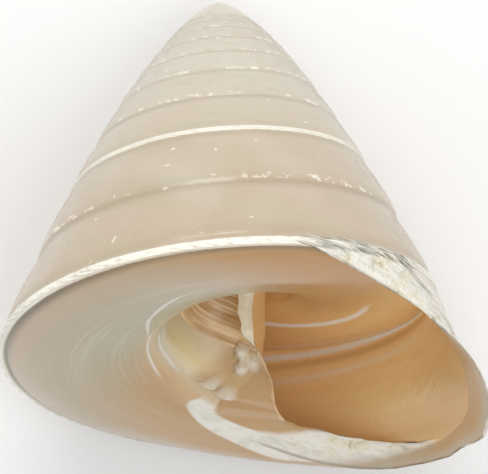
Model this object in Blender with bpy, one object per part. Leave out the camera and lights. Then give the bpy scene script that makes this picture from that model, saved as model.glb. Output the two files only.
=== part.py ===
"""A polished pearl top shell (trochus), one solid, lying on its side.

The shell grows about an axis from its apex.  Each step of growth turns its section clockwise, seen from
the apex, and scales it about the apex, in radius and in depth by two different rates.  So the keel of one
turn is the suture of the next, and the flanks of the spire bulge gently outwards.  Lengths are metres.
"""
import math
from collections import namedtuple

import bmesh
import bpy
from mathutils import Matrix, Vector

# Driving dimensions
KEEL_RADIUS = 0.036        # axis to keel near the lip
KEEL_DEPTH = 1.688         # apex to keel there, in keel radii
RADIUS_RATE = 1.211        # growth of the radius in one turn
DEPTH_RATE = 1.322         # growth of the depth in one turn
FLANK_SWELL = 0.012        # bulge of the flank between two sutures, in keel radii
START_ANGLE = math.radians(2.0)   # where turn 0 of the growth stands about the axis

# The flank between its suture and its keel: the share of the way down, and the share of the swell
FLANK_FORM = ((0.0, 0.0), (0.1, -0.3), (0.32, 0.4), (0.56, 0.9), (0.78, 1.0), (0.92, 1.0), (1.0, 0.0))

# Growth, in steps
STEPS = 48                 # steps in one turn
SPIRE_STEPS = 440          # from the small cap at the apex to the lip
HOLLOW_STEPS = 30          # from the lip back to the end of the hollow
SUTURE_LEAD = 11           # the lip at the suture runs ahead of the lip at the keel
PILLAR_LEAD = 13           # the lip at the top of the pillar runs ahead of the lip at its foot

# Lip
KEEL_LEAD = -0.045         # place of the lip at the keel, in turns
FLARE_TURN = 0.19          # the last part of a turn, where the lip takes its own form
LIP_WIDEN = 0.075          # widening of the keel at the lip, in keel radii
LIP_LOWER = 0.085          # lowering of the keel at the lip, in keel radii
FLANK_DRAW = 0.40          # how the flank draws in under the suture at the lip, in keel radii

# Cap at the apex: the top opening is drawn in to these shares of its radius
CAP_SHARES = (0.6, 0.28)

# Rest: the axis leans back from upright until the flank lies on the floor, and the swellings that
# touch the floor are worn flat
LEAN = math.radians(-118.0)
REST_WEAR = 0.00025        # depth of the wear
MERGE = 1e-6               # lines of the surface that meet are joined within this distance

# Finish
NACRE = (0.62, 0.50, 0.36, 1.0)
NACRE_ROUGHNESS = 0.25
SHARP_ANGLE = math.radians(50)   # edges that fold more than this are shaded sharp

# One line of the section, which growth turns into a spiral: its distance from the axis and depth below
# the apex where the keel stands one keel radius out, its lead at the lip in turns, and how much wider
# and lower it lies at the lip, all but the lead in keel radii.
Row = namedtuple("Row", "radius depth lead widen lower", defaults=(0.0, 0.0))


def flank_rows():
    """The flank, from the suture down to the keel."""
    suture = Vector((1 / RADIUS_RATE, KEEL_DEPTH / DEPTH_RATE))
    keel = Vector((1.0, KEEL_DEPTH))
    along = (keel - suture).normalized()
    outward = Vector((along.y, -along.x))
    rows = []
    for share, swell in FLANK_FORM:
        point = suture.lerp(keel, share) + outward * FLANK_SWELL * swell
        lead = KEEL_LEAD + (1 - share) * SUTURE_LEAD / STEPS
        widen = LIP_WIDEN * share ** 2 - FLANK_DRAW * share * (1 - share) ** 2
        rows.append(Row(point.x, point.y, lead, widen, LIP_LOWER * share ** 2))
    return rows


def earlier(row, lead_steps):
    """The line where the turn before carries this row, for a lip that runs ahead by some steps."""
    return Row(row.radius / RADIUS_RATE, row.depth / DEPTH_RATE, row.lead + lead_steps / STEPS)


FLANK = flank_rows()
UNDER_KEEL = [
    FLANK[-1],
    Row(0.955, KEEL_DEPTH + 0.022, -0.085, 0.10, 0.09),
]
BASE = [
    UNDER_KEEL[-1],
    Row(0.88, KEEL_DEPTH + 0.048, -0.125, 0.11, 0.08),
    Row(0.76, KEEL_DEPTH + 0.070, -0.17, 0.10, 0.04),
    Row(0.62, KEEL_DEPTH + 0.072, -0.21, 0.10, 0.0),
    Row(0.48, KEEL_DEPTH + 0.050, -0.255, 0.09, 0.0),
    Row(0.36, KEEL_DEPTH + 0.005, -0.28, 0.12, 0.03),
    Row(0.29, KEEL_DEPTH - 0.055, -0.255, 0.06, 0.05),
    Row(0.25, KEEL_DEPTH - 0.130, -0.20, 0.02, 0.06),
    Row(0.21, KEEL_DEPTH - 0.210, -0.15, 0.0, 0.04),
]
PILLAR_FOOT = [
    BASE[-1],
    Row(0.155, KEEL_DEPTH - 0.290, -0.10, -0.05, 0.05),
]
PILLAR = [
    PILLAR_FOOT[-1],
    Row(0.11, KEEL_DEPTH - 0.36, -0.04, -0.04, 0.01),
    Row(0.07, KEEL_DEPTH - 0.45, 0.03, -0.02),
    Row(0.06, KEEL_DEPTH - 0.54, 0.10),
    earlier(PILLAR_FOOT[-1], PILLAR_LEAD),
]
HOLLOW = [
    earlier(UNDER_KEEL[-1], SUTURE_LEAD),
    Row(0.805, 1.36, 0.11, 0.0, 0.0),
    Row(0.85, 1.47, 0.05, 0.01, 0.01),
    Row(0.893, 1.58, -0.01, 0.04, 0.03),
    Row(0.912, 1.645, -0.045, 0.06, 0.04),
    Row(0.885, KEEL_DEPTH - 0.012, -0.07, 0.09, 0.04),
    Row(0.84, KEEL_DEPTH, -0.10, 0.12, 0.03),
    Row(0.74, KEEL_DEPTH + 0.012, -0.135, 0.13, 0.0),
    Row(0.62, KEEL_DEPTH + 0.005, -0.16, 0.10, -0.01),
    Row(0.52, KEEL_DEPTH - 0.02, -0.178, 0.05, 0.02),
    Row(0.45, KEEL_DEPTH - 0.07, -0.165, -0.06, 0.05),
    Row(0.39, KEEL_DEPTH - 0.14, -0.13, -0.125, 0.06),
    Row(0.34, KEEL_DEPTH - 0.22, -0.09, -0.18, 0.04),
    Row(0.29, KEEL_DEPTH - 0.30, -0.05, -0.145, 0.02),
    Row(0.24, KEEL_DEPTH - 0.38, -0.02, -0.10),
    Row(0.20, KEEL_DEPTH - 0.47, 0.03, -0.05),
    earlier(BASE[-1], PILLAR_LEAD),
]


def place(row, step):
    """Where a row of the section stands at a step, counted from the lip at 0 back to the apex."""
    turn = row.lead + step / STEPS
    lip = max(0.0, 1 + step / (FLARE_TURN * STEPS)) ** 2
    angle = START_ANGLE - math.tau * turn
    radius = KEEL_RADIUS * (row.radius + lip * row.widen) * RADIUS_RATE ** turn
    depth = KEEL_RADIUS * (row.depth + lip * row.lower) * DEPTH_RATE ** turn
    return Vector((radius * math.cos(angle), radius * math.sin(angle), -depth))


def add_band(bm, rows, first, last):
    """One band of the surface: its first row is a spiral line, extruded across to each next row."""
    steps = range(first, last + 1)
    line = [bm.verts.new(place(rows[0], step)) for step in steps]
    edges = [bm.edges.new(pair) for pair in zip(line, line[1:])]
    for row in rows[1:]:
        grown = bmesh.ops.extrude_edge_only(bm, edges=edges)["geom"]
        new = set(v for v in grown if isinstance(v, bmesh.types.BMVert))
        line = [next(e.other_vert(v) for e in v.link_edges if e.other_vert(v) in new) for v in line]
        for step, vert in zip(steps, line):
            vert.co = place(row, step)
        edges = [bm.edges.get(pair) for pair in zip(line, line[1:])]


def add_lip(bm):
    """The edge of the wall, between the outer and the inner line of the lip."""
    outer = FLANK + UNDER_KEEL[1:] + BASE[1:] + PILLAR_FOOT[1:] + PILLAR[1:]
    edges = []
    for rows in (outer, HOLLOW):
        line = [bm.verts.new(place(row, 0)) for row in rows]
        edges += [bm.edges.new(pair) for pair in zip(line, line[1:])]
    bmesh.ops.bridge_loops(bm, edges=edges)


def open_loops(bm):
    """The open loops of the surface, each as a list of edges."""
    left = set(e for e in bm.edges if e.is_boundary)
    loops = []
    while left:
        loop = [left.pop()]
        start, end = loop[0].verts
        while end != start:
            step = next(e for e in end.link_edges if e in left)
            left.remove(step)
            loop.append(step)
            end = step.other_vert(end)
        loops.append(loop)
    return loops


def fan(bm, loop, middle):
    """Closes a loop with triangles to a middle point."""
    tip = bm.verts.new(middle)
    for edge in loop:
        bm.faces.new((edge.verts[0], edge.verts[1], tip))


def close_apex(bm, loop):
    """Draws the top opening in to the apex along the same curve as the spire."""
    depth_power = math.log(DEPTH_RATE) / math.log(RADIUS_RATE)
    share = 1.0
    for next_share in CAP_SHARES:
        grown = bmesh.ops.extrude_edge_only(bm, edges=loop)["geom"]
        verts = [v for v in grown if isinstance(v, bmesh.types.BMVert)]
        ring = set(verts)
        loop = [e for e in grown if isinstance(e, bmesh.types.BMEdge) and set(e.verts) <= ring]
        shrink = next_share / share
        scale = Vector((shrink, shrink, shrink ** depth_power))
        bmesh.ops.scale(bm, vec=scale, verts=verts)
        share = next_share
    fan(bm, loop, Vector((0, 0, 0)))


def build_surface():
    """The whole closed surface, apex at the origin and axis straight up."""
    bm = bmesh.new()
    base_first = SUTURE_LEAD - STEPS - HOLLOW_STEPS
    add_band(bm, FLANK, -SPIRE_STEPS, 0)
    add_band(bm, UNDER_KEEL, SUTURE_LEAD - STEPS, 0)
    add_band(bm, BASE, base_first, 0)
    add_band(bm, PILLAR_FOOT, PILLAR_LEAD - STEPS, 0)
    add_band(bm, PILLAR, base_first, 0)
    add_band(bm, HOLLOW, -HOLLOW_STEPS, 0)
    add_lip(bm)
    bmesh.ops.remove_doubles(bm, verts=bm.verts, dist=MERGE)
    loops = open_loops(bm)
    top = max(loops, key=lambda loop: max(e.verts[0].co.z for e in loop))
    for loop in loops:
        if loop is top:
            close_apex(bm, loop)
        else:
            corners = set(v for e in loop for v in e.verts)
            fan(bm, loop, sum((v.co for v in corners), Vector()) / len(corners))
    return bm


def wear_flat(bm, upward):
    """Cuts the small flats that the shell rests on, square to the upward direction."""
    lowest = min(v.co.dot(upward) for v in bm.verts)
    everything = bm.verts[:] + bm.edges[:] + bm.faces[:]
    cut = bmesh.ops.bisect_plane(bm, geom=everything, plane_co=upward * (lowest + REST_WEAR),
                                 plane_no=upward, clear_inner=True)["geom_cut"]
    rims = [e for e in cut if isinstance(e, bmesh.types.BMEdge) and e.is_boundary]
    bmesh.ops.holes_fill(bm, edges=rims)


def nacre():
    """Polished mother-of-pearl, warm ivory."""
    material = bpy.data.materials.new("nacre")
    material.use_nodes = True
    shader = material.node_tree.nodes["Principled BSDF"]
    shader.inputs["Base Color"].default_value = NACRE
    shader.inputs["Roughness"].default_value = NACRE_ROUGHNESS
    shader.inputs["Metallic"].default_value = 0.0
    return material


def add_shell():
    """The shell as it lies: the middle of its bounding box over the origin, its lowest point on the floor."""
    lean = Matrix.Rotation(LEAN, 3, "X")
    bm = build_surface()
    wear_flat(bm, lean.inverted() @ Vector((0, 0, 1)))
    bmesh.ops.triangulate(bm, faces=bm.faces)
    bmesh.ops.recalc_face_normals(bm, faces=bm.faces)
    corners = [lean @ v.co for v in bm.verts]
    low = [min(c[i] for c in corners) for i in range(3)]
    high = [max(c[i] for c in corners) for i in range(3)]
    mesh = bpy.data.meshes.new("shell")
    bm.to_mesh(mesh)
    bm.free()
    mesh.shade_smooth()
    mesh.set_sharp_from_angle(angle=SHARP_ANGLE)
    mesh.materials.append(nacre())
    shell = bpy.data.objects.new("shell", mesh)
    shell.rotation_euler.x = LEAN
    shell.location = (-(low[0] + high[0]) / 2, -(low[1] + high[1]) / 2, -low[2])
    bpy.context.collection.objects.link(shell)


def main():
    for old in list(bpy.data.objects):
        bpy.data.objects.remove(old)
    add_shell()


if __name__ == "__main__":
    main()
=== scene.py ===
"""A polished pearl top shell (trochus) lying on its flank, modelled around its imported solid.

The shell grows about an axis from its apex.  Each step of growth turns its section clockwise, seen from
the apex, and scales it about the apex, in radius and in depth by two different rates.  So the keel of one
turn is the suture of the next.  Lengths are metres, and the shell is modelled with its apex at the origin
and its axis upright before it is laid on the floor.
"""
import math
from collections import namedtuple

import bmesh
import bpy
from bpy.props import FloatProperty, FloatVectorProperty, IntProperty, PointerProperty
from mathutils import Matrix, Vector, noise


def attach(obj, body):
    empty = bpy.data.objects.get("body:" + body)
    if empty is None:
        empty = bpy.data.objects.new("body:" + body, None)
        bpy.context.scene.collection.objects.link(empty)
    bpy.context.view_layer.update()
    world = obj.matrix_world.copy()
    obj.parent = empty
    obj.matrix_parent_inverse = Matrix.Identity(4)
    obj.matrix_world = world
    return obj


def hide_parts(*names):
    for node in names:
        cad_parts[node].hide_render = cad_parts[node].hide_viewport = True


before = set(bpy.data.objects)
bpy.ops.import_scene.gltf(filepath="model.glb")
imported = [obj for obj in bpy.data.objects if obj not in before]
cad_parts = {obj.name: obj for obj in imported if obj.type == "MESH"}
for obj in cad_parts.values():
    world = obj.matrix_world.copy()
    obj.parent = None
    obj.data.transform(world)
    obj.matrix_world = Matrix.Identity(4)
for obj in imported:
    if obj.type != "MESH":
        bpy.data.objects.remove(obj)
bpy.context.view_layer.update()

bl_info = {
    "name": "Pearl top shell",
    "version": (1, 0, 0),
    "blender": (4, 5, 0),
    "location": "3D View > Sidebar > Top Shell",
    "description": "A polished pearl top shell with its keeled rim, funnel and mouth, and a soft studio",
    "category": "Object",
}

SOLID = "shell"
FINISH = "nacre"
PIECE = "pearl_shell"
GROWTH_MAP = "growth"

# Driving dimensions of the growth, as in the solid
KEEL_RADIUS = 0.036        # axis to keel near the lip
KEEL_DEPTH = 1.688         # apex to keel there, in keel radii
RADIUS_RATE = 1.211        # growth of the radius in one turn
DEPTH_RATE = 1.322         # growth of the depth in one turn
FLANK_SWELL = 0.012        # bulge of the flank between two sutures, in keel radii
START_ANGLE = math.radians(2.0)
LEAN = math.radians(-118.0)

# Growth, in steps
STEPS = 480                # steps in one turn
SPIRE_STEPS = 4400         # from the small cap at the apex to the lip
FINE_STEPS = 1600          # the last turns, where every step has its own ring
COARSE = 4                 # steps between two rings of the turns before
BEADED = (-3.2, -2.9)      # the turns over which the beads of the rim grow to their full size
HOLLOW_STEPS = 300         # from the lip back to the end of the hollow
SUTURE_LEAD = 116          # the lip at the suture runs ahead of the lip at the keel
PILLAR_LEAD = 130          # the lip at the top of the pillar runs ahead of the lip at its foot

# Lip
KEEL_LEAD = -0.045         # place of the lip at the keel, in turns
FLARE_TURN = 0.19          # the last part of a turn, where the lip takes its own form
LIP_WIDEN = 0.075          # widening of the keel at the lip, in keel radii
LIP_LOWER = 0.085          # lowering of the keel at the lip, in keel radii
FLANK_DRAW = 0.40          # how the flank draws in under the suture at the lip, in keel radii
LIP_CUTS = 5               # rings round the edge of the lip, between its outer and its inner line
LIP_SWELL = 0.0004         # how far the edge of the lip is rounded forwards

# Wear, always inwards
SWELL_DEPTH = 0.00018      # slow unevenness of the polished flank
SWELL_LENGTH = 0.007
GRAIN_DEPTH = 0.00005      # its fine unevenness
GRAIN_LENGTH = 0.0016
FLAKE_DEPTH = 0.00045      # flaked and crumpled nacre at the lip
FLAKE_LENGTH = 0.0016

# Knobs at the foot of the pillar: how many turns before the lip, the line of the section by its radius in
# keel radii, the reach of the knob, and how far it stands out
KNOBS = (
    (-0.047, 0.21, 0.0015, 0.0012), (-0.030, 0.24, 0.0012, 0.0008), (-0.010, 0.275, 0.0013, 0.0010),
    (-0.045, 0.27, 0.0012, 0.0007), (-0.012, 0.22, 0.0014, 0.0009),
)

CAP_SHARES = (0.8, 0.6, 0.42, 0.26, 0.12)
MERGE = 1e-6

# Numbers of the section's parts, which the finish reads from the map's second coordinate
FLANK_PART, BASE_PART, PILLAR_PART, HOLLOW_PART, LIP_PART = 0, 1, 2, 4, 6

# One line of the section: its distance from the axis and depth below the apex where the keel stands one
# keel radius out, its lead at the lip in turns, how much wider and lower it lies at the lip, how far it is
# drawn in between two beads, how far it is worn in or out on the old turns, all but the lead in keel
# radii, and how many turns before its own it belongs to.
Row = namedtuple("Row", "radius depth lead widen lower dip_radius dip_depth worn_radius worn_depth before",
                 defaults=(0.0,) * 7)


# The section
def earlier(row, lead_steps):
    """The line where the turn before carries this row, for a lip that runs ahead by some steps."""
    return Row(row.radius / RADIUS_RATE, row.depth / DEPTH_RATE, row.lead + lead_steps / STEPS, 0.0, 0.0,
               row.dip_radius / RADIUS_RATE, row.dip_depth / DEPTH_RATE,
               row.worn_radius / RADIUS_RATE, row.worn_depth / DEPTH_RATE, row.before + 1)


def smooth_rows(rows, cuts):
    """The same rows with more between them, on a smooth curve through all of them."""
    padded = [rows[0]] + rows + [rows[-1]]
    fine = []
    for before, start, end, after, count in zip(padded, rows, rows[1:], padded[3:], cuts):
        for cut in range(count):
            t = cut / count
            row = Row(*(b + (c - a) * t / 2 + (2 * a - 5 * b + 4 * c - d) * t * t / 2
                        + (3 * b - a - 3 * c + d) * t ** 3 / 2
                        for a, b, c, d in zip(before, start, end, after)))
            fine.append(row._replace(before=start.before))
    return fine + [rows[-1]]


# The flank between its suture and its keel: the share of the way down, the share of the swell where it is
# fresh and where it is worn, and how strongly the beads of the rim show
FLANK_FORM = (
    (0.025, -0.5, -0.1, 0.1), (0.07, -0.6, -0.15, 0.0), (0.15, -0.2, 0.05, 0.0), (0.3, 0.4, 0.4, 0.0),
    (0.5, 0.8, 0.8, 0.0), (0.68, 0.95, 1.0, 0.0), (0.78, 0.7, 1.0, 0.0), (0.825, 0.2, 0.97, 0.0),
    (0.855, -0.2, 0.93, 0.0), (0.88, 0.25, 0.85, 0.0), (0.915, 0.7, 0.7, 0.4), (0.96, 0.65, 0.45, 1.0),
    (1.0, 0.0, 0.0, 1.0),
)
FLANK_CUTS = (1, 1, 1, 2, 3, 3, 2, 1, 1, 1, 1, 1, 1)
BEAD_DIP = Vector((-0.008, -0.002))
FRESH = (-1.25, -0.95)     # the turns over which the keel's cord comes out fresh
OLD_CORD = (-2.95, -2.8, -2.5, -2.35)   # an old stretch of the cord that isn't worn off
SMOOTH_END = (-0.15, -0.06)   # the last stretch, where the cord runs out towards the lip


def flank_rows():
    """The flank, from the suture down to the keel."""
    suture = Vector((1 / RADIUS_RATE, KEEL_DEPTH / DEPTH_RATE))
    keel = Vector((1.0, KEEL_DEPTH))
    along = (keel - suture).normalized()
    outward = Vector((along.y, -along.x)) * FLANK_SWELL
    rows = []
    for share, fresh, worn, bead in FLANK_FORM:
        point = suture.lerp(keel, share) + outward * fresh
        lead = KEEL_LEAD + (1 - share) * SUTURE_LEAD / STEPS
        widen = LIP_WIDEN * share ** 2 - FLANK_DRAW * share * (1 - share) ** 2
        rows.append(Row(point.x, point.y, lead, widen, LIP_LOWER * share ** 2, *(BEAD_DIP * bead),
                        *(outward * (worn - fresh))))
    return [earlier(rows[-1], SUTURE_LEAD)] + rows


FLANK = smooth_rows(flank_rows(), FLANK_CUTS)
OUTSIDE = [
    FLANK[-1],
    Row(0.994, KEEL_DEPTH + 0.007, -0.050, 0.080, 0.086, *BEAD_DIP * 0.8),
    Row(0.982, KEEL_DEPTH + 0.009, -0.058, 0.085, 0.088, *BEAD_DIP * 0.3),
    Row(0.970, KEEL_DEPTH + 0.002, -0.066, 0.092, 0.090),
    Row(0.963, KEEL_DEPTH + 0.006, -0.075, 0.096, 0.090),
    Row(0.955, KEEL_DEPTH + 0.022, -0.085, 0.10, 0.09),
    Row(0.88, KEEL_DEPTH + 0.048, -0.125, 0.11, 0.08),
    Row(0.76, KEEL_DEPTH + 0.070, -0.17, 0.10, 0.04),
    Row(0.62, KEEL_DEPTH + 0.072, -0.21, 0.10, 0.0),
    Row(0.48, KEEL_DEPTH + 0.050, -0.255, 0.09, 0.0),
    Row(0.375, KEEL_DEPTH + 0.010, -0.28, 0.12, 0.02),
    Row(0.332, KEEL_DEPTH - 0.012, -0.277, 0.10, 0.04),
    Row(0.312, KEEL_DEPTH - 0.018, -0.268, 0.08, 0.04),
    Row(0.294, KEEL_DEPTH - 0.058, -0.260, 0.07, 0.05),
    Row(0.280, KEEL_DEPTH - 0.056, -0.245, 0.05, 0.05),
    Row(0.258, KEEL_DEPTH - 0.105, -0.222, 0.03, 0.06),
    Row(0.25, KEEL_DEPTH - 0.130, -0.20, 0.02, 0.06),
    Row(0.21, KEEL_DEPTH - 0.210, -0.15, 0.0, 0.04),
    Row(0.155, KEEL_DEPTH - 0.290, -0.10, -0.09, 0.05),
    Row(0.145, KEEL_DEPTH - 0.325, -0.07, -0.09, 0.03),
    Row(0.11, KEEL_DEPTH - 0.36, -0.04, -0.075, 0.01),
    Row(0.10, KEEL_DEPTH - 0.40, -0.01, -0.06, 0.0),
    Row(0.07, KEEL_DEPTH - 0.45, 0.03, -0.03),
    Row(0.06, KEEL_DEPTH - 0.54, 0.10),
]
OUTSIDE_CUTS = (1, 1, 1, 1, 1, 2, 4, 5, 4, 3, 2, 1, 1, 1, 1, 1, 5, 5, 2, 2, 2, 2, 2, 3)
UNDER_KEEL_END, BASE_END, FOOT_END = (sum(OUTSIDE_CUTS[:given]) for given in (5, 17, 18))
OUTSIDE = smooth_rows(OUTSIDE + [earlier(OUTSIDE[18], PILLAR_LEAD)], OUTSIDE_CUTS)
UNDER_KEEL = OUTSIDE[:UNDER_KEEL_END + 1]
BASE = OUTSIDE[UNDER_KEEL_END:BASE_END + 1]
PILLAR_FOOT = OUTSIDE[BASE_END:FOOT_END + 1]
PILLAR = OUTSIDE[FOOT_END:]
HOLLOW = smooth_rows([
    earlier(UNDER_KEEL[-1], SUTURE_LEAD),
    Row(0.805, 1.36, 0.11, 0.0, 0.0),
    Row(0.85, 1.47, 0.05, 0.0, 0.01),
    Row(0.893, 1.58, -0.01, 0.045, 0.03),
    Row(0.912, 1.645, -0.045, 0.08, 0.04),
    Row(0.885, KEEL_DEPTH - 0.012, -0.07, 0.115, 0.05),
    Row(0.84, KEEL_DEPTH, -0.10, 0.14, 0.04),
    Row(0.74, KEEL_DEPTH + 0.012, -0.135, 0.13, 0.0),
    Row(0.62, KEEL_DEPTH + 0.005, -0.16, 0.10, -0.01),
    Row(0.52, KEEL_DEPTH - 0.02, -0.178, 0.05, 0.02),
    Row(0.45, KEEL_DEPTH - 0.07, -0.165, -0.06, 0.05),
    Row(0.39, KEEL_DEPTH - 0.14, -0.13, -0.125, 0.06),
    Row(0.34, KEEL_DEPTH - 0.22, -0.09, -0.20, 0.04),
    Row(0.29, KEEL_DEPTH - 0.30, -0.05, -0.18, 0.02),
    Row(0.24, KEEL_DEPTH - 0.38, -0.02, -0.14),
    Row(0.20, KEEL_DEPTH - 0.47, 0.03, -0.085),
    earlier(BASE[-1], PILLAR_LEAD),
], (3, 3, 3, 3, 2, 2, 2, 2, 2, 2, 2, 2, 2, 2, 2, 3))


# The surface
def rise(value, low, high):
    """How far a value has risen from low to high, from 0 to 1, with soft ends."""
    share = min(1.0, max(0.0, (value - low) / (high - low)))
    return share * share * (3 - 2 * share)


def worn(turn):
    """How far the cord and its grooves are worn off at a place in the growth, from 0 to 1."""
    start, full, fading, end = OLD_CORD
    left = rise(turn, *FRESH) * (1 - rise(turn, *SMOOTH_END))
    left += 0.7 * rise(turn, start, full) * (1 - rise(turn, fading, end))
    return 1 - left


# How uneven the beads are in depth and in place, and how often each of these changes, in waves a radian
UNEVEN_DEPTH, DEPTH_WAVES = 0.35, 11.3
UNEVEN_PLACE, PLACE_WAVES = 1.4, 5.3


def bead_gap(turn, beads):
    """How deep the rim dips at a place in the growth, from 0 on a bead to 1 between two."""
    angle = START_ANGLE - math.tau * turn
    depth = 1 - UNEVEN_DEPTH + UNEVEN_DEPTH * math.sin(DEPTH_WAVES * angle)
    gap = 0.5 - 0.5 * math.cos(beads * angle + UNEVEN_PLACE * math.sin(PLACE_WAVES * angle))
    return rise(turn, *BEADED) * (1 - worn(turn)) * depth * gap ** 2


def place(row, step, beads):
    """Where a row of the section stands at a step, counted from the lip at 0 back to the apex."""
    turn = row.lead + step / STEPS
    lip = max(0.0, 1 + step / (FLARE_TURN * STEPS)) ** 2
    angle = START_ANGLE - math.tau * turn
    gap = bead_gap(turn - row.before, beads)
    old = worn(turn - row.before)
    radius = row.radius + lip * row.widen + gap * row.dip_radius + old * row.worn_radius
    depth = row.depth + lip * row.lower + gap * row.dip_depth + old * row.worn_depth
    radius *= KEEL_RADIUS * RADIUS_RATE ** turn
    depth *= KEEL_RADIUS * DEPTH_RATE ** turn
    return Vector((radius * math.cos(angle), radius * math.sin(angle), -depth))


# Where nacre has flaked off: along the upper lip, over the rim above the lip, and at the lower lip
RAGGED_LENGTH = 0.0022                 # how coarse the edges of the flaked parts are
UPPER_LIP_TURN, UPPER_LIP_BEND, UPPER_LIP_RAGGED = -0.022, -0.08, 0.018
UPPER_LIP_LINES = (0.4, 0.6)
RIM_STARTS, RIM_ENDS = (-0.9, -0.86), (-0.79, -0.765)
RIM_LINES = (0.72, 0.86)
UPPER_EDGE_ENDS = (0.11, 0.16)
LOWER_EDGE_STARTS, LOWER_EDGE_ENDS = (0.41, 0.44), (0.52, 0.545)


def flaking(step, line, point):
    """How much the nacre has flaked at a place of the map, from 0 to 1."""
    rough = noise.noise(point / RAGGED_LENGTH)
    if line < BASE_PART:
        turn = step / STEPS
        first = UPPER_LIP_TURN + UPPER_LIP_BEND * (1 - line) ** 2 + UPPER_LIP_RAGGED * rough
        near_lip = rise(turn, first - 0.008, first + 0.004) * (1 - rise(line, *UPPER_LIP_LINES))
        over_rim = rise(turn, *RIM_STARTS) * (1 - rise(turn, *RIM_ENDS)) * rise(line, *RIM_LINES)
        return max(near_lip, over_rim * rise(rough, -0.4, 0.1))
    if line >= LIP_PART:
        across = line - LIP_PART
        upper = 1 - rise(across, *UPPER_EDGE_ENDS)
        lower = rise(across, *LOWER_EDGE_STARTS) * (1 - rise(across, *LOWER_EDGE_ENDS))
        return max(0.8 * upper, lower * rise(step, 0.2, 0.4))
    return 0.0


def forward(point):
    """The way that the shell grows at a point of it."""
    radius_growth = math.log(RADIUS_RATE) / math.tau
    depth_growth = math.log(DEPTH_RATE) / math.tau
    return Vector((point.x * radius_growth + point.y, point.y * radius_growth - point.x,
                   point.z * depth_growth)).normalized()


class Surface:
    """A surface under construction.  Its points know their step of growth and line of the section."""

    def __init__(self, beads):
        self.bm = bmesh.new()
        self.step = self.bm.verts.layers.float.new("step")
        self.line = self.bm.verts.layers.float.new("line")
        self.gap = self.bm.verts.layers.float.new("gap")
        # Where nacre has flaked along the lip, and the knob tops that take a painted highlight.
        self.flake_and_highlight = self.bm.verts.layers.float.new("flake_and_highlight")
        self.beads = beads

    def mark(self, points, row, steps, line):
        """Puts a spiral line of points in their places."""
        for point, step in zip(points, steps):
            point.co = place(row, step, self.beads)
            point[self.step] = step
            point[self.line] = line
            point[self.gap] = bead_gap(row.lead + step / STEPS - row.before, self.beads)

    def add_band(self, rows, steps, first_line, last_line):
        """One band of the surface: its first row is a spiral line, extruded across to each next row."""
        points = [self.bm.verts.new() for step in steps]
        self.mark(points, rows[0], steps, first_line)
        edges = [self.bm.edges.new(pair) for pair in zip(points, points[1:])]
        for index, row in enumerate(rows[1:], 1):
            grown = bmesh.ops.extrude_edge_only(self.bm, edges=edges)["geom"]
            new = set(v for v in grown if isinstance(v, bmesh.types.BMVert))
            points = [next(e.other_vert(v) for e in v.link_edges if e.other_vert(v) in new)
                      for v in points]
            share = index / (len(rows) - 1)
            self.mark(points, row, steps, first_line + (last_line - first_line) * share)
            edges = [self.bm.edges.get(pair) for pair in zip(points, points[1:])]
        return edges

    def add_coarse_flank(self):
        """The early turns of the flank, with fewer rings, but all of them where it meets the next turn."""
        steps = range(-SPIRE_STEPS, -FINE_STEPS + 1, COARSE)
        keel = self.add_band(FLANK, steps, FLANK_PART, FLANK_PART + 1)
        shared = -FINE_STEPS - STEPS + SUTURE_LEAD
        edges = [e for e in keel if min(v[self.step] for v in e.verts) >= shared]
        cut = bmesh.ops.subdivide_edges(self.bm, edges=edges, cuts=COARSE - 1)
        for point in cut["geom_inner"]:
            if isinstance(point, bmesh.types.BMVert):
                point.co = place(FLANK[-1], point[self.step], self.beads)

    def add_lip(self):
        """The edge of the wall, rounded between the outer and the inner line of the lip."""
        outer = FLANK + UNDER_KEEL[1:] + BASE[1:] + PILLAR_FOOT[1:] + PILLAR[1:]
        edges = []
        for side, rows in enumerate((outer, HOLLOW)):
            points = [self.bm.verts.new(place(row, 0, self.beads)) for row in rows]
            edges += [self.bm.edges.new(pair) for pair in zip(points, points[1:])]
            for index, point in enumerate(points):
                point[self.line] = LIP_PART + index / (len(points) - 1)
                point[self.step] = side
        bridge = bmesh.ops.bridge_loops(self.bm, edges=edges)
        rungs = [e for e in bridge["edges"] if abs(e.verts[0][self.step] - e.verts[1][self.step]) > 0.5]
        cut = bmesh.ops.subdivide_edges(self.bm, edges=rungs, cuts=LIP_CUTS, use_grid_fill=True)
        for point in cut["geom_inner"]:
            if isinstance(point, bmesh.types.BMVert):
                across = point[self.step]
                point.co += forward(point.co) * LIP_SWELL * 4 * across * (1 - across)

    def wear(self):
        """Wears the closed surface: it swells a little, and nacre flakes off along the lip."""
        self.bm.normal_update()
        for point in self.bm.verts:
            swell = 0.5 + 0.5 * noise.noise(point.co / SWELL_LENGTH)
            grain = 0.5 + 0.5 * noise.noise(point.co / GRAIN_LENGTH)
            fold = abs(noise.noise(point.co / FLAKE_LENGTH)) * 1.6
            point[self.flake_and_highlight] = flaking(point[self.step], point[self.line], point.co)
            depth = SWELL_DEPTH * swell + GRAIN_DEPTH * grain + FLAKE_DEPTH * point[self.flake_and_highlight] * fold
            point.co -= point.normal * depth
        for knob in KNOBS:
            self.raise_knob(*knob)

    def raise_knob(self, turn, radius, size, height):
        """Raises one smooth knob beside the lip, and marks it to take the colours of crumpled nacre, with a
        painted highlight on its top.
        """
        row = min(BASE + PILLAR_FOOT, key=lambda row: abs(row.radius - radius))
        middle = place(row, turn * STEPS, self.beads)
        near = [point for point in self.bm.verts if (point.co - middle).length < size]
        for point in near:
            share = 1 - ((point.co - middle).length / size) ** 2
            point.co += point.normal * height * share
            # Marks the knob for the colours of crumpled nacre: a painted highlight on its top.
            point[self.flake_and_highlight] = max(point[self.flake_and_highlight], 0.8 * math.sqrt(share))

    def map_faces(self):
        """Keeps each face's own steps and lines as its map, before bands that meet are joined."""
        layer = self.bm.loops.layers.uv.new(GROWTH_MAP)
        for face in self.bm.faces:
            for loop in face.loops:
                loop[layer].uv = (loop.vert[self.step] / STEPS, loop.vert[self.line])


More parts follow.
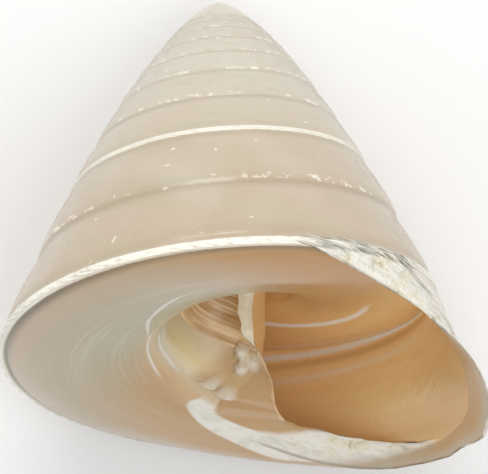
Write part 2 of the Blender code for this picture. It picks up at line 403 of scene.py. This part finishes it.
def open_loops(bm):
    """The open loops of the surface, each as a list of edges."""
    left = set(e for e in bm.edges if e.is_boundary)
    loops = []
    while left:
        loop = [left.pop()]
        start, end = loop[0].verts
        while end != start:
            step = next(e for e in end.link_edges if e in left)
            left.remove(step)
            loop.append(step)
            end = step.other_vert(end)
        loops.append(loop)
    return loops


def fan(bm, loop, middle):
    """Closes a loop with triangles to a middle point."""
    tip = bm.verts.new(middle)
    for edge in loop:
        bm.faces.new((edge.verts[0], edge.verts[1], tip))


def close_apex(bm, loop):
    """Draws the top opening in to the apex along the same curve as the spire."""
    depth_power = math.log(DEPTH_RATE) / math.log(RADIUS_RATE)
    share = 1.0
    for next_share in CAP_SHARES:
        grown = bmesh.ops.extrude_edge_only(bm, edges=loop)["geom"]
        verts = [v for v in grown if isinstance(v, bmesh.types.BMVert)]
        ring = set(verts)
        loop = [e for e in grown if isinstance(e, bmesh.types.BMEdge) and set(e.verts) <= ring]
        shrink = next_share / share
        bmesh.ops.scale(bm, vec=Vector((shrink, shrink, shrink ** depth_power)), verts=verts)
        share = next_share
    fan(bm, loop, Vector((0, 0, 0)))


def grow_shell(beads):
    """The whole closed surface, apex at the origin and axis straight up."""
    surface = Surface(beads)
    base_first = SUTURE_LEAD - STEPS - HOLLOW_STEPS
    surface.add_coarse_flank()
    surface.add_band(FLANK, range(-FINE_STEPS, 1), FLANK_PART, FLANK_PART + 1)
    surface.add_band(UNDER_KEEL, range(SUTURE_LEAD - STEPS, 1), BASE_PART, BASE_PART + 0.1)
    surface.add_band(BASE, range(base_first, 1), BASE_PART + 0.1, BASE_PART + 1)
    surface.add_band(PILLAR_FOOT, range(PILLAR_LEAD - STEPS, 1), PILLAR_PART, PILLAR_PART + 0.2)
    surface.add_band(PILLAR, range(base_first, 1), PILLAR_PART + 0.2, PILLAR_PART + 1)
    surface.add_band(HOLLOW, range(-HOLLOW_STEPS, 1), HOLLOW_PART, HOLLOW_PART + 1)
    surface.add_lip()
    surface.map_faces()
    bm = surface.bm
    bmesh.ops.remove_doubles(bm, verts=bm.verts, dist=MERGE)
    loops = open_loops(bm)
    top = max(loops, key=lambda loop: max(e.verts[0].co.z for e in loop))
    for loop in loops:
        if loop is top:
            close_apex(bm, loop)
        else:
            corners = set(v for e in loop for v in e.verts)
            fan(bm, loop, sum((v.co for v in corners), Vector()) / len(corners))
    bmesh.ops.recalc_face_normals(bm, faces=bm.faces)
    surface.wear()
    return bm


def solid_apex():
    """The tip of the solid: its furthest point along the axis of the shell."""
    axis = Matrix.Rotation(LEAN, 3, "X") @ Vector((0, 0, 1))
    return max((v.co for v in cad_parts[SOLID].data.vertices), key=axis.dot)


def lay_down(bm):
    """Lays the shell where its solid lies, and wears it flat where it touches the floor."""
    lean = Matrix.Rotation(LEAN, 4, "X")
    bmesh.ops.transform(bm, matrix=Matrix.Translation(solid_apex()) @ lean, verts=bm.verts)
    everything = bm.verts[:] + bm.edges[:] + bm.faces[:]
    cut = bmesh.ops.bisect_plane(bm, geom=everything, plane_co=(0, 0, 0), plane_no=(0, 0, 1),
                                 clear_inner=True)["geom_cut"]
    rims = [e for e in cut if isinstance(e, bmesh.types.BMEdge) and e.is_boundary]
    bmesh.ops.holes_fill(bm, edges=rims)
    bmesh.ops.recalc_face_normals(bm, faces=bm.faces)


# Finishes

# Patterns of the nacre, by how often they change in a metre
GRAIN_SCALE = 900.0
CLOUD_SCALE = 90.0
SPECK_SCALE = 650.0
SHIMMER_SCALE = 260.0
FOLD_SCALE = 420.0

# Patterns drawn out along the growth: how often they change in a turn, and across a part of the section
STREAKS = (14.0, 2.0)
WAVES = (4.0, 26.0)
GROWTH_LINES = (5.0, 60.0)

# Where the colours lie, in turns before the lip
IVORY_FADES = (-5.0, -0.9)
PALE_NEAR_LIP = (-0.19, -0.07)
# The white of the cord on these turns is partly painted highlight.
FRESH_CORD = (-1.0, -0.1)
OLD_BRIGHT_CORD = (-2.9, -2.42)
GREEN_TURNS = (-0.5, -0.2)
STRIP_TURNS = (-0.034, -0.026)
INTO_MOUTH = (-0.58, -0.70)

# And across the section, by its line or by the share of the way across its part
# UNDER_SUTURE places the band of painted shade just under each suture.
UNDER_SUTURE = (0.03, 0.12)
CORD_LINES = (0.862, 1.2)
STRIP_SHARE = (0.3, 0.73)
STRIP_END = 0.62
# SLANTED_RIDGE and RIDGES place the ridge lines round the funnel, which carry a painted highlight.
SLANTED_RIDGE = (1.420, 1.432)
RIDGES = ((0.665, 0.68, -0.27, -0.12), (0.748, 0.76, -0.26, -0.11))   # with their first and last turn
UPPER_BAND = (1.42, 1.47)
# HOLLOW_BANDS: two pale bands, partly painted highlight, and a browner band of painted shade between them.
HOLLOW_BANDS = ((4.012, 4.045, 0.015), (4.125, 4.14, 0.015), (4.065, 4.09, 0.02))   # with soft edges
# The two shade stops are painted shade in the groove under the rim, and the pale pillar stop is a painted
# highlight round the rim of the funnel.
BASE_COLOURS = (
    (0.0, "rim"), (0.04, "rim"), (0.065, "shade"), (0.085, "shade"), (0.12, "lilac"), (0.4, "lilac"),
    (0.5, "green"), (0.6, "green"), (0.7, "tan_light"), (0.78, "pillar"), (0.83, "gold"), (0.9, "gold"),
    (0.98, "tan_light"),
)
LIP_OUTER_COLOURS = (
    (0.0, "white"), (0.12, "white"), (0.17, "lilac"), (0.33, "lilac"), (0.4, "beige"), (0.44, "white"),
    (0.62, "white"), (0.64, "tan"),
)
LIP_INNER_COLOURS = (
    (0.0, "white"), (0.12, "white"), (0.16, "tan"), (0.4, "amber"), (0.43, "white"), (0.52, "white"),
    (0.55, "tan"), (0.72, "tan"), (0.78, "pillar"), (1.0, "pillar"),
)


def screen(red, green, blue):
    """A colour given as it shows on a screen, 0 to 255, as the light that it stands for."""
    return tuple(((c / 255 + 0.055) / 1.055) ** 2.4 for c in (red, green, blue))


def add_node(tree, kind, inputs=None, **settings):
    """Adds a node.  Each input is a value or the socket that it is linked to."""
    node = tree.nodes.new(kind)
    for name, value in settings.items():
        setattr(node, name, value)
    for name, value in (inputs or {}).items():
        if isinstance(value, bpy.types.NodeSocket):
            tree.links.new(value, node.inputs[name])
        else:
            node.inputs[name].default_value = value
    return node


class Finish:
    """A material under construction, with short ways to add the nodes that it needs."""

    def __init__(self, name):
        self.material = bpy.data.materials.new(name)
        self.material.use_nodes = True
        self.tree = self.material.node_tree
        self.shader = self.tree.nodes["Principled BSDF"]

    def set(self, **inputs):
        """Sets or links inputs of the shader, named with underscores for spaces."""
        for name, value in inputs.items():
            socket = self.shader.inputs[name.replace("_", " ")]
            if isinstance(value, bpy.types.NodeSocket):
                self.tree.links.new(value, socket)
            else:
                socket.default_value = value

    def math(self, operation, *values):
        """One sum of values."""
        return add_node(self.tree, "ShaderNodeMath", dict(enumerate(values)), operation=operation).outputs[0]

    def product(self, first, second):
        """Two values multiplied."""
        return self.math("MULTIPLY", first, second)

    def rise(self, value, low, high, start=0.0, end=1.0):
        """Goes from start to end while a value goes from low to high, with soft ends."""
        inputs = {"Value": value, "From Min": low, "From Max": high, "To Min": start, "To Max": end}
        node = add_node(self.tree, "ShaderNodeMapRange", inputs, interpolation_type="SMOOTHSTEP")
        return node.outputs["Result"]

    def between(self, value, low, high, soft):
        """1 where a value lies between low and high, with soft edges."""
        return self.product(self.rise(value, low - soft, low + soft),
                            self.rise(value, high - soft, high + soft, 1.0, 0.0))

    def vector(self, x, y):
        """A point from two values."""
        return add_node(self.tree, "ShaderNodeCombineXYZ", {"X": x, "Y": y}).outputs[0]

    def noise(self, vector, scale, detail, distortion=0.0):
        """Cloudy noise, from 0 to 1."""
        inputs = {"Vector": vector, "Scale": scale, "Detail": detail, "Distortion": distortion}
        return add_node(self.tree, "ShaderNodeTexNoise", inputs).outputs["Fac"]

    def mix(self, share, first, second):
        """Two colours mixed by a share."""
        node = add_node(self.tree, "ShaderNodeMix", data_type="RGBA")
        for index, value in ((0, share), (6, first), (7, second)):
            if isinstance(value, bpy.types.NodeSocket):
                self.tree.links.new(value, node.inputs[index])
            else:
                node.inputs[index].default_value = (*value, 1.0)
        return node.outputs[2]

    def ramp(self, value, stops):
        """A colour that changes with a value from 0 to 1, through stops of place and name."""
        node = add_node(self.tree, "ShaderNodeValToRGB", {"Fac": value})
        elements = node.color_ramp.elements
        while len(elements) < len(stops):
            elements.new(1.0)
        for element, (place, name) in zip(elements, stops):
            element.position = place
            element.color = (*getattr(self.colours, name), 1.0)
        return node.outputs["Color"]

    def bump(self, height, strength, distance, **inputs):
        """A bump of the surface."""
        inputs.update({"Height": height, "Strength": strength, "Distance": distance})
        return add_node(self.tree, "ShaderNodeBump", inputs).outputs["Normal"]


class NacreFinish(Finish):
    """Polished mother-of-pearl, coloured by the shell's own map: its turn, and its line of the section."""

    def __init__(self, colours):
        super().__init__(FINISH)
        self.colours = colours
        growth = add_node(self.tree, "ShaderNodeUVMap", uv_map=GROWTH_MAP)
        split = add_node(self.tree, "ShaderNodeSeparateXYZ", {"Vector": growth.outputs["UV"]})
        self.turn = split.outputs["X"]
        self.line = split.outputs["Y"]
        # On the lip the steps run from 0 on its outer line to 1 on its inner line
        self.edge = self.math("MULTIPLY", self.turn, float(STEPS))
        self.gap = add_node(self.tree, "ShaderNodeAttribute", attribute_name="gap").outputs["Fac"]
        # Where nacre has flaked, and the knob tops that take a painted highlight.
        self.flake_and_highlight = add_node(self.tree, "ShaderNodeAttribute", attribute_name="flake_and_highlight").outputs["Fac"]
        self.spot = add_node(self.tree, "ShaderNodeTexCoord").outputs["Object"]
        self.grain = self.noise(self.spot, GRAIN_SCALE, 3.0)
        self.cloud = self.noise(self.spot, CLOUD_SCALE, 1.0)
        self.streak = self.drawn_out(STREAKS, 3.0, 0.6)
        self.wave = self.drawn_out(WAVES, 2.0, 0.2)

    def drawn_out(self, changes, detail, distortion):
        """Noise that is drawn out along the growth."""
        in_turn, across = changes
        spot = self.vector(self.product(self.turn, in_turn), self.product(self.line, across))
        return self.noise(spot, 1.0, detail, distortion)

    def bent(self, slope, turn):
        """The line of the section, slanted so that it follows a band of the inside."""
        return self.math("MULTIPLY_ADD", self.math("ADD", self.turn, turn), slope, self.line)

    def part(self, number):
        """1 on one part of the section."""
        return self.math("COMPARE", self.line, number + 0.5, 0.5)

    def tint(self, colour, name, share):
        """A colour, mixed with one of the shell's own colours by a share."""
        return self.mix(share, colour, getattr(self.colours, name))

    def shimmer(self, colour):
        """A pale colour with the faint green and pink of nacre in it."""
        patches = self.noise(self.spot, SHIMMER_SCALE, 2.0, 0.5)
        colour = self.tint(colour, "green", self.rise(patches, 0.42, 0.6, 0.0, 0.3))
        return self.tint(colour, "pink", self.rise(patches, 0.5, 0.36, 0.0, 0.25))

    def flank(self):
        """Ivory at the apex, beige below, with painted shade under each suture, and a bright beaded cord at
        the keel of each turn that is partly painted highlight.
        """
        colour = self.mix(self.rise(self.turn, *IVORY_FADES), self.colours.ivory, self.colours.beige)
        colour = self.tint(colour, "pink", self.rise(self.streak, 0.45, 0.7, 0.0, 0.5))
        colour = self.tint(colour, "green", self.rise(self.streak, 0.5, 0.3, 0.0, 0.4))
        colour = self.tint(colour, "ivory", self.rise(self.cloud, 0.4, 0.75, 0.0, 0.4))
        # Pale specks: partly lighter grains of nacre, partly painted glints.
        specks_and_glints = self.noise(self.spot, SPECK_SCALE, 1.0)
        colour = self.tint(colour, "rim", self.rise(specks_and_glints, 0.74, 0.80, 0.0, 0.5))
        # Painted shade: a soft darker band just under each suture.
        under_suture_shade = self.between(self.line, *UNDER_SUTURE, 0.05)
        colour = self.tint(colour, "shade", self.product(under_suture_shade, 0.3))
        colour = self.tint(colour, "white", self.rise(self.turn, *PALE_NEAR_LIP, 0.0, 0.75))
        return self.tint(colour, "rim", self.cord())

    def cord(self):
        """Where the cord of the keel shows, and how bright: partly its own white and partly painted
        highlight, with painted glints, and a little dimmer between the beads.
        """
        fresh = self.between(self.turn, *FRESH_CORD, 0.06)
        old = self.product(self.between(self.turn, *OLD_BRIGHT_CORD, 0.08), 0.75)
        # Painted glints scattered along the cord.
        glint = self.product(self.rise(self.grain, 0.48, 0.6), self.rise(self.streak, 0.42, 0.56, 0.0, 0.6))
        bright = self.math("MAXIMUM", self.math("MAXIMUM", fresh, old), glint)
        gaps = self.product(self.gap, self.rise(self.line, 0.9, 0.96))
        bright = self.product(bright, self.rise(gaps, 0.0, 1.0, 1.0, 0.75))
        bright = self.product(bright, self.rise(self.grain, 0.3, 0.5, 0.6, 1.0))
        return self.product(bright, self.between(self.line, *CORD_LINES, 0.015))

    def base(self):
        """Lilac outside, grey-green round the funnel, tan towards the lip and orange into the mouth, with
        painted shade under the rim and painted highlights round the funnel and inside the mouth.
        """
        share = self.math("SUBTRACT", self.line, float(BASE_PART))
        colour = self.ramp(share, BASE_COLOURS)
        colour = self.tint(colour, "beige", self.rise(self.cloud, 0.45, 0.75, 0.0, 0.5))
        fine = self.drawn_out(GROWTH_LINES, 3.0, 0.3)
        outside = self.product(self.between(share, 0.3, 0.72, 0.1), self.rise(self.turn, -0.62, -0.5))
        self.lines = self.product(outside, self.rise(fine, 0.45, 0.7))
        colour = self.tint(colour, "white", self.product(self.lines, 0.4))
        colour = self.tint(colour, "tan", self.product(self.warm(share), 0.8))
        colour = self.tint(colour, "tan", self.rise(self.turn, -0.5, -0.62, 0.0, 0.35))
        left = self.product(self.between(self.turn, *GREEN_TURNS, 0.1), self.rise(share, 0.1, 0.3, 0.0, 0.5))
        colour = self.tint(colour, "green", left)
        colour = self.tint(colour, "shade", self.product(left, 0.3))
        strip = self.product(self.rise(self.turn, *STRIP_TURNS), self.between(share, *STRIP_SHARE, 0.02))
        colour = self.mix(strip, colour, self.shimmer(self.colours.white))
        self.ridges_and_highlights = self.funnel_ridges_and_highlights(share)
        # Painted highlight: white along the ridge lines round the funnel.
        colour = self.tint(colour, "white", self.product(self.ridges_and_highlights, 0.8))
        inward = self.math("MULTIPLY_ADD", share, -0.12, self.turn)
        inside = self.product(self.rise(inward, *INTO_MOUTH), self.rise(share, 0.07, 0.13))
        # A pale band inside the mouth, partly painted highlight; deeper into the mouth the inside grows
        # browner, as painted shade.
        band = self.between(self.bent(1.1, 0.83), *UPPER_BAND, 0.015)
        band = self.product(band, self.rise(self.turn, -0.765, -0.80))
        return self.mix(inside, colour, self.inside(band, self.rise(self.turn, -0.85, -0.7, 0.3, 0.9)))

    def warm(self, share):
        """Where the base is tan: towards the lip, and at the foot of the funnel."""
        near_lip = self.product(self.rise(self.turn, -0.38, -0.1), self.between(share, 0.25, 0.76, 0.1))
        in_funnel = self.product(self.rise(self.turn, -0.12, -0.06), self.rise(share, 0.7, 0.8))
        return self.math("MAXIMUM", near_lip, in_funnel)

    def funnel_ridges_and_highlights(self, share):
        """The raised lines round the rim of the funnel, a slanted one and two along the growth; they give
        the bump, and their white is a painted highlight.
        """
        ridges_and_highlights = self.product(self.between(self.bent(-1.05, 0.48), *SLANTED_RIDGE, 0.006),
                              self.between(self.turn, -0.5, -0.27, 0.03))
        for low, high, first, last in RIDGES:
            ridge = self.product(self.between(share, low, high, 0.008),
                                 self.between(self.turn, first, last, 0.03))
            ridges_and_highlights = self.math("ADD", ridges_and_highlights, ridge)
        return ridges_and_highlights

    def inside(self, bands, shade_share):
        """Orange nacre, browner by a share as painted shade, with pale bands that are partly painted
        highlights.
        """
        colours = self.colours
        colour = self.mix(self.rise(self.wave, 0.3, 0.7, 0.2, 0.8), colours.orange, colours.amber)
        colour = self.tint(colour, "brown_and_shade", shade_share)
        return self.tint(colour, "white", self.product(bands, 0.85))

    def hollow(self):
        """The wall of the mouth, with gold deep inside as painted light, two pale bands that are partly
        painted highlights, and a browner band of painted shade between them.
        """
        slanted = self.bent(0.36, 0.29)
        first, second, dark = (self.between(slanted, low, high, soft) for low, high, soft in HOLLOW_BANDS)
        bands = self.math("ADD", first, self.product(second, 0.6))
        bands = self.product(bands, self.rise(self.turn, -0.12, -0.26, 0.2, 1.0))
        # Painted shade: browner near the lip.
        near_lip = self.rise(self.turn, -0.16, -0.02, 0.0, 0.55)
        colour = self.inside(bands, self.math("MAXIMUM", near_lip, self.product(dark, 0.6)))
        # Painted light: gold brightening the deep hollow.
        deep = self.rise(self.turn, -0.03, -0.2, 0.0, 0.75)
        colour = self.tint(colour, "gold", self.product(deep, self.rise(self.line, 4.12, 4.35)))
        return self.tint(colour, "tan_light", self.rise(self.line, 4.0, 4.15, 0.0, 0.15))

    def lip(self):
        """The broken edge: a white strip outside, tan on its inner half, greenish up the pillar."""
        across = self.math("SUBTRACT", self.line, float(LIP_PART))
        limit = self.math("MULTIPLY_ADD", self.math("SUBTRACT", STRIP_END, across), 3.8, 0.02)
        inner_half = self.rise(self.math("SUBTRACT", self.edge, limit), -0.04, 0.04)
        outer = self.shimmer(self.ramp(across, LIP_OUTER_COLOURS))
        colour = self.mix(inner_half, outer, self.ramp(across, LIP_INNER_COLOURS))
        right = self.product(self.between(across, 0.17, 0.4, 0.03), self.rise(self.edge, 0.15, 0.7))
        colour = self.tint(colour, "tan", right)
        outline = self.product(self.between(across, 0.15, 0.5, 0.02), self.rise(self.edge, 0.12, 0.02))
        return self.tint(colour, "shade", self.product(outline, 0.7))

    def finish(self):
        """The whole material."""
        colour = self.flank()
        colour = self.mix(self.part(BASE_PART), colour, self.base())
        colour = self.mix(self.part(HOLLOW_PART), colour, self.hollow())
        colour = self.mix(self.part(LIP_PART), colour, self.lip())
        pillar = self.mix(self.rise(self.wave, 0.4, 0.7), self.colours.tan, self.colours.tan_light)
        colour = self.mix(self.part(PILLAR_PART), colour, pillar)
        folds = self.noise(self.spot, FOLD_SCALE, 4.0, 0.4)
        # Crumpled nacre: white on the tops of its folds as painted highlight, and the shade colour in their
        # hollows as painted shade.
        flaky_lit_and_shaded = self.mix(self.rise(folds, 0.36, 0.56), self.colours.pillar, self.colours.white)
        flaky_lit_and_shaded = self.tint(flaky_lit_and_shaded, "shade", self.rise(folds, 0.4, 0.28, 0.0, 0.7))
        colour = self.mix(self.flake_and_highlight, colour, flaky_lit_and_shaded)
        raised = self.math("MULTIPLY_ADD", self.lines, 0.5, self.grain)
        raised = self.math("MULTIPLY_ADD", self.ridges_and_highlights, 3.0, raised)
        fine = self.bump(raised, 0.35, 0.0002)
        folded = self.bump(self.product(folds, self.flake_and_highlight), 0.8, 0.0012, Normal=fine)
        self.set(Base_Color=colour, Roughness=self.rise(self.cloud, 0.3, 0.7, 0.22, 0.36),
                 Coat_Weight=0.35, Coat_Roughness=0.1, Normal=folded)
        return self.material


def floor_material(colour):
    """A plain pale studio floor."""
    floor = Finish("studio_floor")
    floor.set(Base_Color=(*colour, 1.0), Roughness=0.9)
    return floor.material


# What a user can change
def colour_property(name, description, value):
    return FloatVectorProperty(name=name, description=description, subtype="COLOR", size=3,
                               min=0.0, max=1.0, default=value)


class TopShellForm(bpy.types.PropertyGroup):
    beads: IntProperty(name="Beads", description="Beads of the rim in one turn", default=80,
                       min=12, max=160)


class TopShellColours(bpy.types.PropertyGroup):
    beige: colour_property("Beige", "The flank of the last turns", screen(191, 173, 147))
    ivory: colour_property("Ivory", "The flank near the apex", screen(207, 200, 183))
    pink: colour_property("Pink", "Rosy streaks of the flank", screen(200, 177, 157))
    # Rim also gives painted highlights: the bright cord with its glints, and the pale specks of the flank.
    rim: colour_property("Rim", "The beaded rim", screen(252, 249, 234))
    # Shade is painted shade: in the groove under the rim, under the sutures and in the hollows of crumpled
    # nacre; it also darkens the base round the funnel and the outer line of the lip.
    shade: colour_property("Shade", "Grooves and pits", screen(150, 138, 116))
    lilac: colour_property("Lilac", "The outer part of the base", screen(199, 179, 153))
    green: colour_property("Grey-green", "The base round the funnel", screen(183, 177, 147))
    # Gold is also painted light deep in the hollow of the mouth.
    gold: colour_property("Gold", "The wall of the funnel", screen(246, 226, 168))
    tan: colour_property("Tan", "The base towards the lip", screen(197, 156, 104))
    tan_light: colour_property("Light tan", "Bands of the inside", screen(246, 216, 168))
    # The inside's own orange-brown, laid on as painted shade where the lamps reach the inside of the mouth.
    brown_and_shade: colour_property("Brown", "The inside where it catches the light", screen(189, 140, 84))
    orange: colour_property("Orange", "The inside of the mouth", screen(250, 194, 126))
    amber: colour_property("Amber", "Paler clouds of the inside", screen(250, 210, 142))
    # Pillar is also a painted highlight round the rim of the funnel, and the lower tone of crumpled nacre.
    pillar: colour_property("Pillar", "The pillar and the right edge of the lip", screen(240, 230, 202))
    # White also gives painted highlights: pale bands inside the mouth, the lines round the rim of the funnel
    # and the tops of crumpled nacre.
    white: colour_property("White", "The broken edge of the lip", screen(246, 242, 230))


class TopShellStudio(bpy.types.PropertyGroup):
    floor: colour_property("Floor", "Colour of the floor", (0.97, 0.97, 0.97))
    key: FloatProperty(name="Key light", description="Power of the large lamp beyond the apex", default=1.6,
                       min=0.0, unit="POWER")
    fill: FloatProperty(name="Fill light", description="Power of the large lamp overhead", default=0.8,
                        min=0.0, unit="POWER")
    sky: FloatProperty(name="Sky", description="Strength of the even light from all round", default=0.65,
                       min=0.0, max=10.0)


class TopShellSettings(bpy.types.PropertyGroup):
    form: PointerProperty(type=TopShellForm)
    colours: PointerProperty(type=TopShellColours)
    studio: PointerProperty(type=TopShellStudio)


# The makers
class TOPSHELL_OT_shell(bpy.types.Operator):
    """Model the shell and give it its finish"""
    bl_idname = "topshell.shell"
    bl_label = "Shell"

    def execute(self, context):
        settings = context.scene.top_shell
        bm = grow_shell(settings.form.beads)
        lay_down(bm)
        mesh = bpy.data.meshes.new(PIECE)
        bm.to_mesh(mesh)
        bm.free()
        mesh.shade_smooth()
        mesh.materials.append(NacreFinish(settings.colours).finish())
        shell = bpy.data.objects.new(PIECE, mesh)
        context.scene.collection.objects.link(shell)
        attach(shell, "root")
        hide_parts(SOLID)
        print("shell triangles", sum(len(p.vertices) - 2 for p in mesh.polygons))
        return {"FINISHED"}


# Studio
FLOOR_REACH = 6.0
KEY_PLACE, KEY_SIZE = Vector((-0.05, 0.45, 0.45)), 0.35
FILL_PLACE, FILL_SIZE = Vector((0.22, -0.08, 0.68)), 0.5

# The camera looks down past the vertical, from beyond the apex
PICTURE = (488, 474)                    # width and height, in pixels
APEX_IN_PICTURE = (219.6, 2.4)          # where the apex shows, from the top left corner
SENSOR = 36.0                           # width, in millimetres
VIEW = Vector((0.0, -0.0924, -0.9958))
VIEW_ROLL = math.radians(-1.5)
VIEW_DISTANCE = 30 * KEEL_RADIUS
PIXELS_PER_KEEL_RADIUS = 249.5
VIEW_REACH = 20.0


class TOPSHELL_OT_studio(bpy.types.Operator):
    """Lay the floor and set the lights and the camera"""
    bl_idname = "topshell.studio"
    bl_label = "Studio"

    def execute(self, context):
        studio = context.scene.top_shell.studio
        self.lay_floor(context.scene, studio)
        self.hang_lamps(context.scene, studio)
        self.set_camera(context.scene)
        return {"FINISHED"}

    def lay_floor(self, scene, studio):
        bm = bmesh.new()
        bmesh.ops.create_grid(bm, x_segments=1, y_segments=1, size=FLOOR_REACH)
        mesh = bpy.data.meshes.new("floor")
        bm.to_mesh(mesh)
        bm.free()
        mesh.materials.append(floor_material(studio.floor))
        floor = bpy.data.objects.new("floor", mesh)
        scene.collection.objects.link(floor)

    def hang_lamps(self, scene, studio):
        world = bpy.data.worlds.new("studio")
        world.use_nodes = True
        background = world.node_tree.nodes["Background"]
        background.inputs["Strength"].default_value = studio.sky
        background.inputs["Color"].default_value = (1.0, 1.0, 1.0, 1.0)
        scene.world = world
        scene.view_settings.view_transform = "Standard"
        for name, power, spot, size in (("key", studio.key, KEY_PLACE, KEY_SIZE),
                                        ("fill", studio.fill, FILL_PLACE, FILL_SIZE)):
            data = bpy.data.lights.new(name, "AREA")
            data.energy = power
            data.size = size
            lamp = bpy.data.objects.new(name, data)
            lamp.location = spot
            lamp.rotation_euler = (-spot).to_track_quat("-Z", "Y").to_euler()
            scene.collection.objects.link(lamp)

    def set_camera(self, scene):
        focal = PIXELS_PER_KEEL_RADIUS * VIEW_DISTANCE / KEEL_RADIUS
        data = bpy.data.cameras.new("camera")
        data.sensor_width = SENSOR
        data.lens = focal / PICTURE[0] * data.sensor_width
        data.clip_end = VIEW_REACH
        camera = bpy.data.objects.new("camera", data)
        right = VIEW.cross(Vector((0, 1, 0))).normalized()
        up = right.cross(VIEW)
        turn = Matrix.Rotation(VIEW_ROLL, 3, "Z")
        axes = Matrix((right, up, -VIEW)).transposed() @ turn
        across = PICTURE[0] / 2 - APEX_IN_PICTURE[0]
        down = PICTURE[1] / 2 - APEX_IN_PICTURE[1]
        look = (VIEW * focal + axes.col[0] * across - axes.col[1] * down).normalized()
        side = look.cross(axes.col[1]).normalized()
        camera.rotation_euler = Matrix((side, side.cross(look), -look)).transposed().to_euler()
        camera.location = solid_apex() - VIEW * VIEW_DISTANCE
        scene.collection.objects.link(camera)
        scene.camera = camera


class TOPSHELL_PT_panel(bpy.types.Panel):
    bl_label = "Top Shell"
    bl_idname = "TOPSHELL_PT_panel"
    bl_space_type = "VIEW_3D"
    bl_region_type = "UI"
    bl_category = "Top Shell"

    def draw(self, context):
        settings = context.scene.top_shell
        for group, operator in ((settings.form, TOPSHELL_OT_shell), (settings.colours, None),
                                (settings.studio, TOPSHELL_OT_studio)):
            box = self.layout.box()
            for name in group.__annotations__:
                box.prop(group, name)
            if operator:
                box.operator(operator.bl_idname)


CLASSES = (TopShellForm, TopShellColours, TopShellStudio, TopShellSettings, TOPSHELL_OT_shell,
           TOPSHELL_OT_studio, TOPSHELL_PT_panel)


def register():
    for each in CLASSES:
        bpy.utils.register_class(each)
    bpy.types.Scene.top_shell = PointerProperty(type=TopShellSettings)


def unregister():
    del bpy.types.Scene.top_shell
    for each in reversed(CLASSES):
        bpy.utils.unregister_class(each)


def main():
    register()
    bpy.ops.topshell.shell()
    bpy.ops.topshell.studio()


if __name__ == "__main__":
    main()
